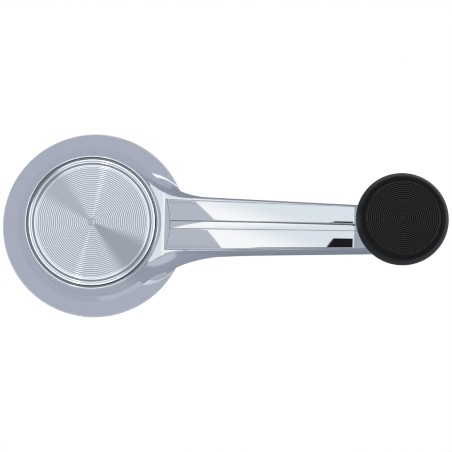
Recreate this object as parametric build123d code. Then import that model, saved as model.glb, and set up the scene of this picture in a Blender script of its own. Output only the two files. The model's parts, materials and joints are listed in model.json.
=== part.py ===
"""Window crank handle: a die-cast hub and arm with a free-turning knob.

Millimetres. The origin is on the regulator shaft's axis, at the back face of the wear washer,
where the handle meets the door trim. +Z runs out of the door along the shaft, and +X runs along
the arm from the hub to the knob.
"""
from build123d import *
from math import cos, pi, sin, sqrt
import os

# ---------------------------------------------------------------- driving dimensions
CRANK_LENGTH = 110.0        # shaft axis to knob axis
HUB_R = 34.0                # outside of the hub flange
KNOB_R = 16.0               # widest part of the knob
RIM_R = 24.3                # crest of the thin rim that surrounds the disc
RUN_GAP = 0.05              # clearance of every running fit

# heights above the door trim
WASHER_T = 1.2              # wear washer
HUB_BACK_Z = WASHER_T + RUN_GAP
FLANGE_EDGE_Z = 2.2         # top of the flange's upright edge
CREASE_Z = 4.1              # where the flange turns up into the hub's steep side
FACE_Z = 11.2               # arm's face
FACE_EDGE_Z = 11.0          # its outer edge, which falls away a little
RIM_Z = 12.8                # top of the hub rim
SEAT_Z = 11.35              # spot face that the knob stands on
KNOB_WIDE_Z = 40.0          # height of the knob's widest part
KNOB_TOP_Z = 45.0           # top of the knob's ribs

# hub
CREASE_R = 28.4             # foot of the steep side
SHOULDER_R = 25.3           # steep side at the height of the face's edge
WALL = 2.0                  # general wall of the casting
RIM_FALL = 0.15             # the rim falls away this much on either side of its crest
RECESS_R = 23.95            # recess that holds the disc
RECESS_Z = 11.4             # floor of that recess
WEB_T = 2.5                 # web under the recess
BOSS_R = 9.4                # boss around the spline insert
RIB_T = 1.6
RIB_SETBACK = 1.2           # ribs stop this far short of the open side
HUB_RIBS = 6

# arm
FACE_HALF_HUB = 10.85       # half width of the face, extended back to the shaft axis
FACE_HALF_KNOB = 7.4        # the same at the knob axis
EDGE_BAND = 1.5             # width of the band along the face's edge that falls away
DRAFT_HUB = 1.5             # how far each side spreads from face to foot, at the shaft axis
DRAFT_KNOB = 1.4            # the same at the knob axis
FACE_BLEND_R = (20.0, 20.0)     # plan radii where the face runs into the hub, on the +Y and -Y side
FOOT_BLEND_R = (34.0, 62.0)     # the same at the crease
FLANGE_BLEND_R = (6.0, 9.0)     # the same at the flange's edge
ARM_UNDER_Z = 4.0           # underside of the arm
LIFT_START_X = 40.0         # the underside leaves the trim here
LIFT_END_X = 60.0
RAMP_START_X = 26.4         # foot of the ramp that carries the face up to the rim
RAMP_END_X = 17.0
RAMP_TOP_Z = 12.6
RAMP_HALF = 14.0
ARM_ROOF_T = 2.0
ARM_RIBS = 3

# the two raised bars on the arm's face
BAR_START_R = 28.5          # their hub ends follow a circle about the shaft axis
BAR_SEAT_X = 95.5           # here the spot face under the knob cuts them off
BAR_END_X = 108.0
BAR_OUT_HUB = 9.8           # outer edge from the bars' middle line, at the shaft axis
BAR_OUT_KNOB = 7.3          # the same at the knob axis
BAR_IN_HUB = 1.6            # inner edge, likewise
BAR_IN_KNOB = 1.2
BAR_SKEW_HUB = -0.25        # the bars' middle line starts this far off the arm's centre line
BAR_INNER_H = 0.8           # height of a bar's inner side wall
BAR_SLOPE = 0.069           # a bar's top first rises outwards at this slope
BAR_FALL = 0.018            # and then falls with the square of the distance
BAR_ARCH = 0.3              # further rise at mid length
VALLEY_DEPTH = 0.15         # hollow between the bars

# disc in the hub
DISC_R = 23.2
DISC_FACE_Z = 12.6
BEAD_R = 22.4               # crest of the rolled bead
BEAD_HALF = 0.6
BEAD_H = 0.28
CHANNEL_R = 21.4            # narrow channel inside the bead
CHANNEL_HALF = 0.3
CHANNEL_DEPTH = 0.3
LIP_R = 20.6                # crest of the lip around the turned rings
LIP_HALF = 0.4
LIP_H = 0.19
RINGS_R = 19.95             # crest of the outermost turned ring
DISC_PITCH = 0.69
GROOVE_DEPTH = 0.128
GROOVE_LEAN = 0.4           # a groove's floor lies this share of a pitch inside its crest
BUTTON_R = 1.1
PAD_T = 0.5

# shaft socket and its screw
INSERT_R = 7.2
INSERT_BACK_Z = 0.0         # mouth of the socket, level with the back of the wear washer
INSERT_TOP_Z = 8.5
SOCKET_TOP_Z = 7.2
PILOT_R = 5.6               # plain mouth of the socket
PILOT_TOP_Z = 2.7
SPLINE_OUT_R = 5.4
SPLINE_IN_R = 4.95
SPLINE_TEETH = 24
SCREW_R = 2.4
SCREW_HOLE_R = 2.6
SCREW_PITCH = 0.8
SCREW_TIP_Z = 3.1
SCREW_WELL_R = 5.2          # hole in the hub's web that the screw goes in through
LOCK_WASHER_T = 1.0
HEAD_R = 4.75
HEAD_T = 2.1

# knob and its spindle
SPINDLE_R = 4.0
RIVET_R = 3.0
RIVET_FLARE = 1.4           # countersink of the riveted end
SPRING_T = 0.4
SPRING_RISE = 0.8
THRUST_T = 0.8
WASHER_R = 8.6
BUSH_R = 5.6
BUSH_TOP_Z = 33.0
SPINDLE_HEAD_R = 6.3
SPINDLE_HEAD_T = 2.6
HEAD_POCKET_R = 7.2         # hollow in the knob for the spindle's head
COLLAR_R = 9.6              # foot of the knob
WAIST_R = 9.3               # its slimmest part
CAP_R = 12.6
CAP_SEAT_Z = 42.4
CAP_PITCH = 0.655
CAP_RIB_H = 0.3

KNOB_AXIS = Pos(CRANK_LENGTH, 0, 0)


# ---------------------------------------------------------------- helpers
def turned(points):
    """Solid of revolution about Z from a closed outline of (radius, height) points."""
    outline = Polyline(*[(r, 0, z) for r, z in points], close=True)
    return revolve(make_face(outline), Axis.Z)


def ring(inner, outer, low, high):
    """Plain ring about Z."""
    return turned([(inner, low), (outer, low), (outer, high), (inner, high)])


def disc_solid(radius, low, high):
    """Plain cylinder about Z between two heights."""
    return Pos(0, 0, low) * extrude(Circle(radius), amount=high - low)


def between(at_shaft, at_knob, x):
    """Value at x of a size that changes evenly from the shaft axis to the knob axis."""
    return at_shaft + (at_knob - at_shaft) * x / CRANK_LENGTH


def neck_corner(shape, hub_radius, side):
    """The corner where one side of the arm meets the hub's circle. side is +1 or -1."""
    return [v for v in shape.vertices()
            if v.X > 0 and v.Y * side > 0 and abs(sqrt(v.X ** 2 + v.Y ** 2) - hub_radius) < 0.01]


def plan_outline(hub_radius, drafts, inset, blends, z):
    """Plan shape of hub and arm at one height: circle, tapered arm and round end, blended.

    drafts is the share of the sides' full spread at this height; inset draws the sides in.
    """
    half_hub = FACE_HALF_HUB + drafts * DRAFT_HUB - inset
    half_knob = FACE_HALF_KNOB + drafts * DRAFT_KNOB - inset
    corners = [(0, -half_hub), (CRANK_LENGTH, -half_knob), (CRANK_LENGTH, half_knob), (0, half_hub)]
    shape = Circle(hub_radius) + Polygon(*corners, align=None) + KNOB_AXIS * Circle(half_knob)
    for side, blend in zip((1, -1), blends):
        shape = fillet(neck_corner(shape, hub_radius, side), blend + inset)
    return Pos(0, 0, z) * shape


# ---------------------------------------------------------------- casting
def casting_outside():
    """Outer form of hub and arm as stacked plan shapes, clear of the trim under the arm."""
    foot = plan_outline(HUB_R, 1, 0, FLANGE_BLEND_R, HUB_BACK_Z)
    edge = plan_outline(HUB_R, 1, 0, FLANGE_BLEND_R, FLANGE_EDGE_Z)
    crease = plan_outline(CREASE_R, 0.95, 0, FOOT_BLEND_R, CREASE_Z)
    face_edge = plan_outline(SHOULDER_R, 0, 0, FACE_BLEND_R, FACE_EDGE_Z)
    face = plan_outline(SHOULDER_R - EDGE_BAND, 0, EDGE_BAND, FACE_BLEND_R, FACE_Z)
    levels = [foot, edge, crease, face_edge, face]
    body = loft(levels[:2], ruled=True)
    for low, high in zip(levels[1:], levels[2:]):
        body += loft([low, high], ruled=True)
    return body - arm_underside_cut()


def arm_underside_cut():
    """Space under the arm: it lifts off the trim beyond the flange."""
    start, end = (LIFT_START_X, HUB_BACK_Z), (LIFT_END_X, ARM_UNDER_Z)
    below = (LIFT_START_X, -1)
    far = CRANK_LENGTH + 2 * KNOB_R
    lift = Spline(start, end, tangents=((1, 0.05), (1, 0)))
    rest = Polyline(end, (far, ARM_UNDER_Z), (far, -1), below, start)
    section = Plane.XZ * make_face(lift + rest)
    return extrude(section, amount=KNOB_R * 2, both=True)


def steep_radius(z):
    """Radius of the hub's steep side at a height."""
    return CREASE_R + (SHOULDER_R - CREASE_R) * (z - CREASE_Z) / (FACE_EDGE_Z - CREASE_Z)


def hub_rim():
    """Upper end of the hub: the ground under the recess, and the thin rim around it."""
    low_z = FACE_Z - 1
    lip_z = RIM_Z - RIM_FALL
    return turned([
        (0, low_z), (SHOULDER_R - 0.5, low_z), (SHOULDER_R, FACE_EDGE_Z), (steep_radius(lip_z), lip_z),
        (RIM_R, RIM_Z), (RECESS_R, lip_z), (RECESS_R, RECESS_Z),
        (0, RECESS_Z),
    ])


def neck_ramp():
    """Gentle ramp that carries the arm's face up to the rim, as wide as the arm."""
    foot, top = (RAMP_START_X, FACE_Z), (RAMP_END_X, RAMP_TOP_Z)
    under_z = FACE_EDGE_Z - 0.5
    curve = Spline(foot, top, tangents=((-1, 0), (-1, 0.2)))
    rest = Polyline(top, (RAMP_END_X, under_z), (RAMP_START_X, under_z), foot)
    ramp = extrude(Plane.XZ * make_face(curve + rest), amount=RAMP_HALF, both=True)
    width = plan_outline(SHOULDER_R, 0, 0, FACE_BLEND_R, FACE_Z - 1)
    return ramp & extrude(width, amount=3)


def bar_height(across):
    """Height of a bar's top over the face, at a distance from its inner edge."""
    return BAR_INNER_H + BAR_SLOPE * across - BAR_FALL * across ** 2


def bar_section(x, side, arch):
    """Cross-section of one bar: upright walls and a crowned top. side is +1 or -1."""
    middle = between(BAR_SKEW_HUB, 0, x)
    inner, outer = between(BAR_IN_HUB, BAR_IN_KNOB, x), between(BAR_OUT_HUB, BAR_OUT_KNOB, x)
    width = outer - inner
    foot_z, top_z = FACE_Z - 0.5, FACE_Z + arch
    low_edge = (x, middle + side * outer, top_z + bar_height(width))
    crest = (x, middle + side * (inner + outer) / 2, top_z + bar_height(width / 2))
    high_edge = (x, middle + side * inner, top_z + bar_height(0))
    top = ThreePointArc(low_edge, crest, high_edge)
    inner_foot, outer_foot = (x, middle + side * inner, foot_z), (x, middle + side * outer, foot_z)
    return make_face(top + Polyline(high_edge, inner_foot, outer_foot, low_edge))


def raised_bar(side):
    """One long crowned bar, cut round at the hub and spot-faced flat under the knob."""
    stations = ((BAR_START_R - 6, 0), (CRANK_LENGTH / 2, BAR_ARCH), (BAR_END_X, 0))
    bar = loft([bar_section(x, side, arch) for x, arch in stations])
    bar -= disc_solid(BAR_START_R, FACE_Z - 1, RIM_Z + 2)
    spot_face = Box(KNOB_R, 2 * KNOB_R, 2, align=(Align.MIN, Align.CENTER, Align.MIN))
    return bar - Pos(BAR_SEAT_X, 0, SEAT_Z) * spot_face


def valley_section(x):
    """Lens-shaped cut between the bars at one station."""
    middle = between(BAR_SKEW_HUB, 0, x)
    half = between(BAR_IN_HUB, BAR_IN_KNOB, x)
    left = (x, middle - half, FACE_Z)
    right = (x, middle + half, FACE_Z)
    hollow = ThreePointArc(left, (x, middle, FACE_Z - VALLEY_DEPTH), right)
    cover = Polyline(right, (x, middle + half, FACE_Z + 0.1), (x, middle - half, FACE_Z + 0.1), left)
    return make_face(hollow + cover)


def valley():
    """Hollow between the bars, from the hub to the knob."""
    return loft([valley_section(RAMP_END_X), valley_section(BAR_END_X)], ruled=True)


def hub_cavity():
    """Open back of the hub, with the boss and ribs left standing."""
    web_z = RECESS_Z - WEB_T
    cavity = turned([
        (0, HUB_BACK_Z - 1), (HUB_R - 2.5, HUB_BACK_Z - 1), (HUB_R - 2.5, HUB_BACK_Z + 0.4),
        (CREASE_R - WALL, CREASE_Z), (SHOULDER_R - WALL - 0.8, web_z), (0, web_z),
    ])
    cavity -= disc_solid(BOSS_R, HUB_BACK_Z, web_z)
    rib_low = HUB_BACK_Z + RIB_SETBACK
    rib = Pos(HUB_R / 2, 0, (rib_low + web_z) / 2) * Box(HUB_R, RIB_T, web_z - rib_low)
    for turn in range(HUB_RIBS):
        cavity -= Rot(0, 0, 30 + turn * 360 / HUB_RIBS) * rib
    return cavity


def arm_channel():
    """Hollow underside of the arm, with cross ribs left standing."""
    roof_z = FACE_Z - ARM_ROOF_T
    low_x = CREASE_R + 1.5
    high_x = CRANK_LENGTH - FACE_HALF_KNOB - 2.5
    low_half = between(FACE_HALF_HUB, FACE_HALF_KNOB, low_x) - WALL
    high_half = between(FACE_HALF_HUB, FACE_HALF_KNOB, high_x) - WALL
    corners = [(low_x, -low_half), (high_x, -high_half), (high_x, high_half), (low_x, low_half)]
    plan = fillet(Polygon(*corners, align=None).vertices(), 1.5)
    channel = extrude(plan, amount=roof_z)
    channel -= disc_solid(HUB_R - 0.4, 0, CREASE_Z + 0.6)
    step = (high_x - low_x) / (ARM_RIBS + 1)
    rib_low = ARM_UNDER_Z + RIB_SETBACK
    rib = Pos(0, 0, (rib_low + roof_z) / 2) * Box(RIB_T, 2 * FACE_HALF_HUB, roof_z - rib_low)
    for place in range(1, ARM_RIBS + 1):
        channel -= Pos(low_x + place * step, 0, 0) * rib
    return channel


def handle_casting():
    """Hub and arm, cast in one piece."""
    body = casting_outside()
    body -= valley()
    body += hub_rim()
    body += neck_ramp()
    for side in (1, -1):
        body += raised_bar(side)
    body -= hub_cavity()
    body -= arm_channel()
    body -= disc_solid(RECESS_R, RECESS_Z, RIM_Z + 1)
    body -= disc_solid(INSERT_R, 0, INSERT_TOP_Z)
    body -= disc_solid(SCREW_WELL_R, INSERT_TOP_Z - 0.1, RECESS_Z + 0.1)
    body -= KNOB_AXIS * disc_solid(RIVET_R, 0, RIM_Z)
    return body - KNOB_AXIS * rivet_flare()


# ---------------------------------------------------------------- socket, screw and disc
def spline_insert():
    """Steel bush that grips the regulator shaft: plain mouth, then serrations, closed on top."""
    body = disc_solid(INSERT_R, INSERT_BACK_Z, INSERT_TOP_Z)
    body -= disc_solid(PILOT_R, INSERT_BACK_Z - 1, PILOT_TOP_Z)
    points = []
    for tooth in range(SPLINE_TEETH):
        for radius, offset in ((SPLINE_OUT_R, 0.0), (SPLINE_IN_R, 0.5)):
            angle = 2 * pi * (tooth + offset) / SPLINE_TEETH
            points.append((radius * cos(angle), radius * sin(angle)))
    socket = Polygon(*points, align=None)
    body -= Pos(0, 0, PILOT_TOP_Z - 0.1) * extrude(socket, amount=SOCKET_TOP_Z - PILOT_TOP_Z + 0.1)
    return body - disc_solid(SCREW_HOLE_R, SOCKET_TOP_Z - 1, INSERT_TOP_Z + 1)


def lock_washer():
    """Split spring washer under the screw head."""
    body = ring(SCREW_HOLE_R + 0.05, HEAD_R - 0.35, INSERT_TOP_Z, INSERT_TOP_Z + LOCK_WASHER_T)
    slit = Rot(0, 0, 35) * Pos(HEAD_R / 2, 0, INSERT_TOP_Z) * Rot(25, 0, 0) * Box(HEAD_R + 2, 0.5, 4)
    return body - slit


def retaining_screw():
    """Pan-head screw into the end of the shaft. The thread is shown as separate rings."""
    head_z = INSERT_TOP_Z + LOCK_WASHER_T
    top_z = head_z + HEAD_T
    root = SCREW_R - 0.45
    outline = [(0, SCREW_TIP_Z), (root, SCREW_TIP_Z)]
    z = SCREW_TIP_Z
    while z + SCREW_PITCH < head_z - 0.6:
        outline += [(SCREW_R, z + SCREW_PITCH / 2), (root, z + SCREW_PITCH)]
        z += SCREW_PITCH
    outline += [(SCREW_R, z + 0.3), (SCREW_R, head_z), (HEAD_R, head_z), (HEAD_R, head_z + 0.9)]
    outline += [(HEAD_R - 0.5, top_z - 0.45), (HEAD_R - 1.6, top_z), (0, top_z)]
    body = turned(outline)
    arm_of_cross = Pos(0, 0, top_z) * Box(5.0, 1.0, 2.4)
    return body - arm_of_cross - Rot(0, 0, 90) * arm_of_cross


def grooves(pitch, crest_z, depth, outer, inner, lean):
    """Sawtooth of turned rings as (radius, height) points, from the outer to the inner radius."""
    points = []
    radius = outer
    while radius > inner:
        points.append((radius, crest_z))
        radius -= pitch
        if radius + (1 - lean) * pitch > inner:
            points.append((radius + (1 - lean) * pitch, crest_z - depth))
    return points


def ridge(crest_r, half_width, foot_z, rise):
    """Roof-shaped ring as (radius, height) points, from its outer foot to its inner foot."""
    return [(crest_r + half_width, foot_z), (crest_r, foot_z + rise), (crest_r - half_width, foot_z)]


def hub_disc():
    """Stamped disc: rolled bead, channel, low lip, turned rings and a small centre button."""
    low = RECESS_Z + PAD_T
    face = DISC_FACE_Z
    bead = [(DISC_R - 0.25, low), (DISC_R, low + 0.3)]
    bead += ridge(BEAD_R, BEAD_HALF, face, BEAD_H)
    bead += [(CHANNEL_R + CHANNEL_HALF, face - CHANNEL_DEPTH), (CHANNEL_R - CHANNEL_HALF, face - CHANNEL_DEPTH)]
    bead += ridge(LIP_R, LIP_HALF, face, LIP_H)
    rings = grooves(DISC_PITCH, face, GROOVE_DEPTH, RINGS_R, BUTTON_R + 0.05, GROOVE_LEAN)
    button = [
        (BUTTON_R, face - GROOVE_DEPTH), (BUTTON_R - 0.15, face + 0.12),
        (BUTTON_R - 0.5, face + 0.15), (0.25, face - 0.1), (0, face - 0.12), (0, low),
    ]
    return turned(bead + rings + button)


def disc_pad():
    """Foam adhesive ring under the disc."""
    return ring(8.0, 19.0, RECESS_Z, RECESS_Z + PAD_T)


def wear_washer():
    """Plastic ring that stays still against the trim; its lip centres it inside the hub."""
    lip_r = HUB_R - 2.5 - RUN_GAP
    return turned([
        (INSERT_R + 0.8, 0), (HUB_R - 1.6, 0), (HUB_R - 1.2, 0.4), (HUB_R - 1.2, WASHER_T),
        (lip_r, WASHER_T), (lip_r, WASHER_T + 0.35), (lip_r - 0.9, WASHER_T + 0.35),
        (lip_r - 0.9, WASHER_T), (INSERT_R + 0.8, WASHER_T),
    ])


# ---------------------------------------------------------------- knob
def rivet_flare():
    """Countersunk end of the spindle in the arm's underside."""
    high_z = ARM_UNDER_Z + RIVET_FLARE
    wide_r = RIVET_R + RIVET_FLARE
    return turned([(0, 0), (wide_r, 0), (wide_r, ARM_UNDER_Z), (RIVET_R, high_z), (0, high_z)])


def knob_spindle():
    """Shouldered rivet: riveted into the arm, with a head that keeps the knob on."""
    head_low = BUSH_TOP_Z + RUN_GAP
    head_top = head_low + SPINDLE_HEAD_T
    end_z = ARM_UNDER_Z - 0.3
    flare = RIVET_FLARE - RUN_GAP
    return turned([
        (0, end_z), (RIVET_R + flare - 0.35, end_z), (RIVET_R + flare, ARM_UNDER_Z),
        (RIVET_R, ARM_UNDER_Z + flare), (RIVET_R, SEAT_Z), (SPINDLE_R, SEAT_Z), (SPINDLE_R, head_low),
        (SPINDLE_HEAD_R, head_low), (SPINDLE_HEAD_R, head_top - 1.0), (SPINDLE_HEAD_R - 1.2, head_top),
        (0, head_top),
    ])


def spring_washer():
    """Cupped spring washer that takes up the knob's end play."""
    low, high = SEAT_Z, SEAT_Z + SPRING_RISE
    return turned([
        (SPINDLE_R + 0.15, high - SPRING_T), (WASHER_R - 0.6, low), (WASHER_R - 0.6, low + SPRING_T),
        (SPINDLE_R + 0.15, high),
    ])


def thrust_washer():
    """Plain plastic washer that the knob turns against."""
    low = SEAT_Z + SPRING_RISE
    return ring(SPINDLE_R + 0.15, WASHER_R, low, low + THRUST_T)


KNOB_LOW_Z = SEAT_Z + SPRING_RISE + THRUST_T + RUN_GAP


def knob_body():
    """Moulded knob: slim collar, waist, wide rounded head with a recess for the cap."""
    lip_z = KNOB_TOP_Z - 0.1
    collar = (COLLAR_R, 0, KNOB_LOW_Z + 1.2)
    side = Spline(collar, (WAIST_R, 0, KNOB_LOW_Z + 8), (KNOB_R, 0, KNOB_WIDE_Z),
                  tangents=((-0.15, 0, 1), (0.02, 0, 1)))
    shoulder = Spline((KNOB_R, 0, KNOB_WIDE_Z), (KNOB_R - 0.9, 0, KNOB_WIDE_Z + 3.0),
                      (KNOB_R - 2.6, 0, lip_z), tangents=((0.02, 0, 1), (-1, 0, 0.1)))
    top = Polyline(
        (KNOB_R - 2.6, 0, lip_z), (CAP_R + 0.05, 0, lip_z - 0.15), (CAP_R + 0.05, 0, CAP_SEAT_Z),
        (HEAD_POCKET_R, 0, CAP_SEAT_Z), (HEAD_POCKET_R, 0, BUSH_TOP_Z), (BUSH_R, 0, BUSH_TOP_Z),
        (BUSH_R, 0, KNOB_LOW_Z), (COLLAR_R - 0.8, 0, KNOB_LOW_Z), collar)
    return revolve(make_face(side + shoulder + top), Axis.Z)


def knob_bush():
    """Sleeve moulded into the knob, running on the spindle."""
    return ring(SPINDLE_R + RUN_GAP, BUSH_R, KNOB_LOW_Z, BUSH_TOP_Z)


def knob_cap():
    """Ribbed face of the knob."""
    crown = KNOB_TOP_Z - 0.1
    points = [(0, CAP_SEAT_Z), (CAP_R, CAP_SEAT_Z), (CAP_R, crown - CAP_RIB_H)]
    points += grooves(CAP_PITCH, crown, CAP_RIB_H, CAP_R - 0.35, 0.2, 0.5)
    return turned(points + [(0, crown - CAP_RIB_H / 2)])


PARTS = {
    "handle_casting": handle_casting(),
    "spline_insert": spline_insert(),
    "lock_washer": lock_washer(),
    "retaining_screw": retaining_screw(),
    "hub_disc": hub_disc(),
    "disc_pad": disc_pad(),
    "wear_washer": wear_washer(),
    "knob_spindle": KNOB_AXIS * knob_spindle(),
    "spring_washer": KNOB_AXIS * spring_washer(),
    "thrust_washer": KNOB_AXIS * thrust_washer(),
    "knob_body": KNOB_AXIS * knob_body(),
    "knob_bush": KNOB_AXIS * knob_bush(),
    "knob_cap": KNOB_AXIS * knob_cap(),
}

os.makedirs("parts", exist_ok=True)
for name, shape in PARTS.items():
    export_step(shape, f"parts/{name}.step")
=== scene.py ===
"""Looks of the window crank handle: meshes, materials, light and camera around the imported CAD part.

Lengths are millimetres in the CAD frame until a mesh or camera is made: the origin is on the
shaft axis at the trim, +X runs along the arm to the knob and +Z out of the door.
"""
import json
from math import atan2, cos, hypot, pi, radians, sin, sqrt
import bmesh
import bpy
from mathutils import Matrix, Vector

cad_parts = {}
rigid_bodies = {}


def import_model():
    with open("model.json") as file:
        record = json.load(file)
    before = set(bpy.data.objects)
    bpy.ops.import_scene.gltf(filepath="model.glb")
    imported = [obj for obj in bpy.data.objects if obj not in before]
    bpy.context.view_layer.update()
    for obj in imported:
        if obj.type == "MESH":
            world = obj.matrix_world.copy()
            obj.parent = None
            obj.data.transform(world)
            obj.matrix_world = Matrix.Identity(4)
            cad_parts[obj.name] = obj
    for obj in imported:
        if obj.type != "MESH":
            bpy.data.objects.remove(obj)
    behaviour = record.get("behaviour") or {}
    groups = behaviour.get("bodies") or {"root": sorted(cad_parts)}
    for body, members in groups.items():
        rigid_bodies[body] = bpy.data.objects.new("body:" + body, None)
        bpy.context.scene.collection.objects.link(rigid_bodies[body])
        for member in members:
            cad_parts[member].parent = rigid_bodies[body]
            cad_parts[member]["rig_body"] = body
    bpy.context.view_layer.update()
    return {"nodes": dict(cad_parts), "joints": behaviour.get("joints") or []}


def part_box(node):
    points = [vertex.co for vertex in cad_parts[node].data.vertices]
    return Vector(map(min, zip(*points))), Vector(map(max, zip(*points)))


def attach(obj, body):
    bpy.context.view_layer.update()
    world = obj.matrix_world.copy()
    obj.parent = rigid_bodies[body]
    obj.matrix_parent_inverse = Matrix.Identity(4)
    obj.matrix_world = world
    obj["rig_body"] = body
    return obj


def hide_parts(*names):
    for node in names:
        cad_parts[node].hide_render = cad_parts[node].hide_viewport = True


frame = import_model()
nodes = frame["nodes"]
MM = 0.001


# ---------------------------------------------------------------- sizes read from the frame
def size_of(node):
    """Lowest and highest corner of a CAD node in millimetres."""
    low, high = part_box(node)
    return low / MM, high / MM


joint_place = {joint["name"]: Vector(joint["pos_m"]) / MM for joint in frame["joints"]}
CRANK_LENGTH = joint_place["knob_spin"].x
cast_low, cast_high = size_of("handle_casting")
insert_high = size_of("spline_insert")[1]
disc_low, disc_high = size_of("hub_disc")
cap_low, cap_high = size_of("knob_cap")
body_low, body_high = size_of("knob_body")
bush_low, bush_high = size_of("knob_bush")

HUB_R = -cast_low.x
HUB_BACK_Z = cast_low.z
RIM_Z = cast_high.z
DISC_R = disc_high.x
DISC_BACK_Z = disc_low.z
CAP_R = (cap_high.x - cap_low.x) / 2
CAP_SEAT_Z = cap_low.z
CAP_TOP_Z = cap_high.z
KNOB_R = (body_high.x - body_low.x) / 2
KNOB_LOW_Z = body_low.z
KNOB_LIP_Z = body_high.z
BUSH_R = (bush_high.x - bush_low.x) / 2
BUSH_TOP_Z = bush_high.z
INSERT_R = insert_high.x
INSERT_TOP_Z = insert_high.z

# ---------------------------------------------------------------- sizes of the casting
FLANGE_EDGE_Z = 2.2         # top of the flange's upright edge
CREASE_R, CREASE_Z = 28.4, 4.1          # where the flange turns up into the steep side
SHOULDER_R, FACE_EDGE_Z = 25.3, 11.0    # the steep side at the height of the face's edge
FACE_Z = 11.2               # the arm's face
RIM_R = 24.3                # crest of the thin rim round the disc
RIM_FALL = 0.15             # the rim falls away this much on either side of its crest
RIM_CREST_HALF = 0.02
RIM_FOOT_Z = 10.3           # the rim's own solid starts here, inside the hub
RIM_SKIN = 0.006            # and stands this proud, so that it never shares a face with the hub
RECESS_R, RECESS_Z = 23.95, 11.4
WELL_R = 5.2                # hole under the disc that the screw goes in through
WALL = 2.0
WEB_T = 2.5
BOSS_R = 9.4
RIB_T = 1.6
RIB_SETBACK = 1.6           # the hub's ribs stop this far short of its open side
CAVITY_INSET = 2.5          # the hub's hollow starts this far inside the flange's edge
HUB_RIBS = 6
ARM_RIBS = 3
RAMP_START_X, RAMP_END_X = 26.4, 17.0
RAMP_TOP_Z, RAMP_TOP_SLOPE = 12.6, 0.2
RAMP_HALF = 14.0
RAMP_SUNK = 0.5             # the ramp's solid reaches this far below the face's edge
RAMP_INSET = 0.08           # the ramp stays this far inside the face's outline
FACE_HALF_HUB = 10.85       # half width of the face, carried back to the shaft axis
FACE_HALF_KNOB = 7.4
EDGE_BAND = 1.5             # outer band of the face, which falls away a little
DRAFT_HUB, DRAFT_KNOB = 1.5, 1.4
FACE_BLEND_R = (20.0, 20.0)     # plan radii at the neck, on the +Y and the -Y side
FOOT_BLEND_R = (34.0, 62.0)
FLANGE_BLEND_R = (6.0, 9.0)
ARM_UNDER_Z = 4.0
LIFT_START_X, LIFT_END_X = 40.0, 60.0   # between these the underside rises off the trim
ARM_ROOF_T = 2.0
EDGE_ROUND = 0.3            # rounding of the casting's outer edges

BAR_START_R = 28.5          # the bars' hub ends follow a circle about the shaft axis
BAR_SEAT_X = 95.5           # here the spot face under the knob cuts them off
BAR_END_X = 108.0
BAR_OUT_HUB, BAR_OUT_KNOB = 9.8, 7.3
BAR_IN_HUB, BAR_IN_KNOB = 1.6, 1.2
BAR_SKEW_HUB = -0.25        # the bars' middle line at the shaft axis
BAR_INNER_H = 0.8           # height of a bar's inner wall over the face
BAR_SLOPE, BAR_FALL = 0.069, 0.018      # from there it rises a little, then falls away outwards
BAR_ARCH, ARCH_START_R = 0.3, 22.5      # further rise at mid length, and where it would be nought
BAR_EDGE = 0.3              # rounding of a bar's top edges
BAR_SUNK = 0.4              # the bars' solids reach this far into the face
SEAT_Z = 11.35
SEAT_SUNK = 0.35
SEAT_LAP, SEAT_INSET = 0.5, 0.02        # how far a seat strip runs under its bar, and inside its sides
VALLEY_DEPTH = 0.15
VALLEY_START_X = RECESS_R - 3
VALLEY_SPREAD = 1.02        # the cutter is this much wider than the gap between the bars
RIVET_R, RIVET_FLARE = 3.0, 1.4
POCKET_CORNER = 1.2
CLEAR = 1.0                 # how far a cutter runs past the face it starts from

# disc, knob and cap
DISC_FACE_Z = 12.6
BEAD_R, BEAD_HALF, BEAD_H = 22.4, 0.6, 0.28
CHANNEL_R, CHANNEL_HALF, CHANNEL_DEPTH = 21.4, 0.3, 0.3
LIP_R, LIP_HALF, LIP_H = 20.6, 0.4, 0.19
RINGS_R, DISC_PITCH, GROOVE_DEPTH = 19.95, 0.69, 0.128
GROOVE_LEAN = 0.4           # a groove's floor lies this share of a pitch inside its crest
CREST_OUT, CREST_IN = 0.06, 0.05        # half widths of a ring's soft crest, in pitches
CREST_DROP = 0.06                       # and how far it is rubbed down, in groove depths
BUTTON_R = 1.1
CAP_PITCH, CAP_RIB_H = 0.655, 0.3
CAP_GROOVE_LEAN = 0.5
CAP_EDGE = 0.35             # plain edge outside the cap's ribs
HEAD_POCKET_R = 7.2
COLLAR_R, COLLAR_H = 9.6, 1.2           # foot of the knob
COLLAR_FOOT_R = 8.8
WAIST_R, WAIST_H = 9.3, 8.0             # its slimmest part
WIDE_DROP = 4.9             # the knob is widest this far below its lip
SHOULDER_IN, SHOULDER_UP = 0.9, 3.0     # a point of the round edge above that
LIP_IN = 2.6                # the round edge ends this far inside the widest part
SIDE_POINTS, SHOULDER_POINTS = 22, 8
BUTTON_CROWN = ((0.15, 0.12), (0.5, 0.15))      # (in from its edge, up from the disc's face)
DIMPLE_R, DIMPLE_EDGE_H, DIMPLE_H = 0.25, 0.1, 0.12     # small centre mark of disc and cap
KNOB_SHINE, CAP_SHINE, GROOVE_SHINE = 0.2, 0.62, 0.05

# mesh fineness
HUB_STEPS = 130
BLEND_STEPS = 40
SIDE_STEPS = 36
END_STEPS = 28
RAMP_STEPS = 24
BAR_STEPS = 90              # along a bar
CROWN_STEPS = 14            # across its top
EDGE_STEPS = 4              # round its top edges
VALLEY_STEPS, VALLEY_ACROSS = 60, 16
LIFT_STEPS = 16
TURNS = 320                 # segments round a large turned piece
KNOB_TURNS = 256
CUTTER_TURNS = 160
RING_ANGLE = 12             # degrees: edges sharper than this stay crisp on the turned rings


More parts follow.
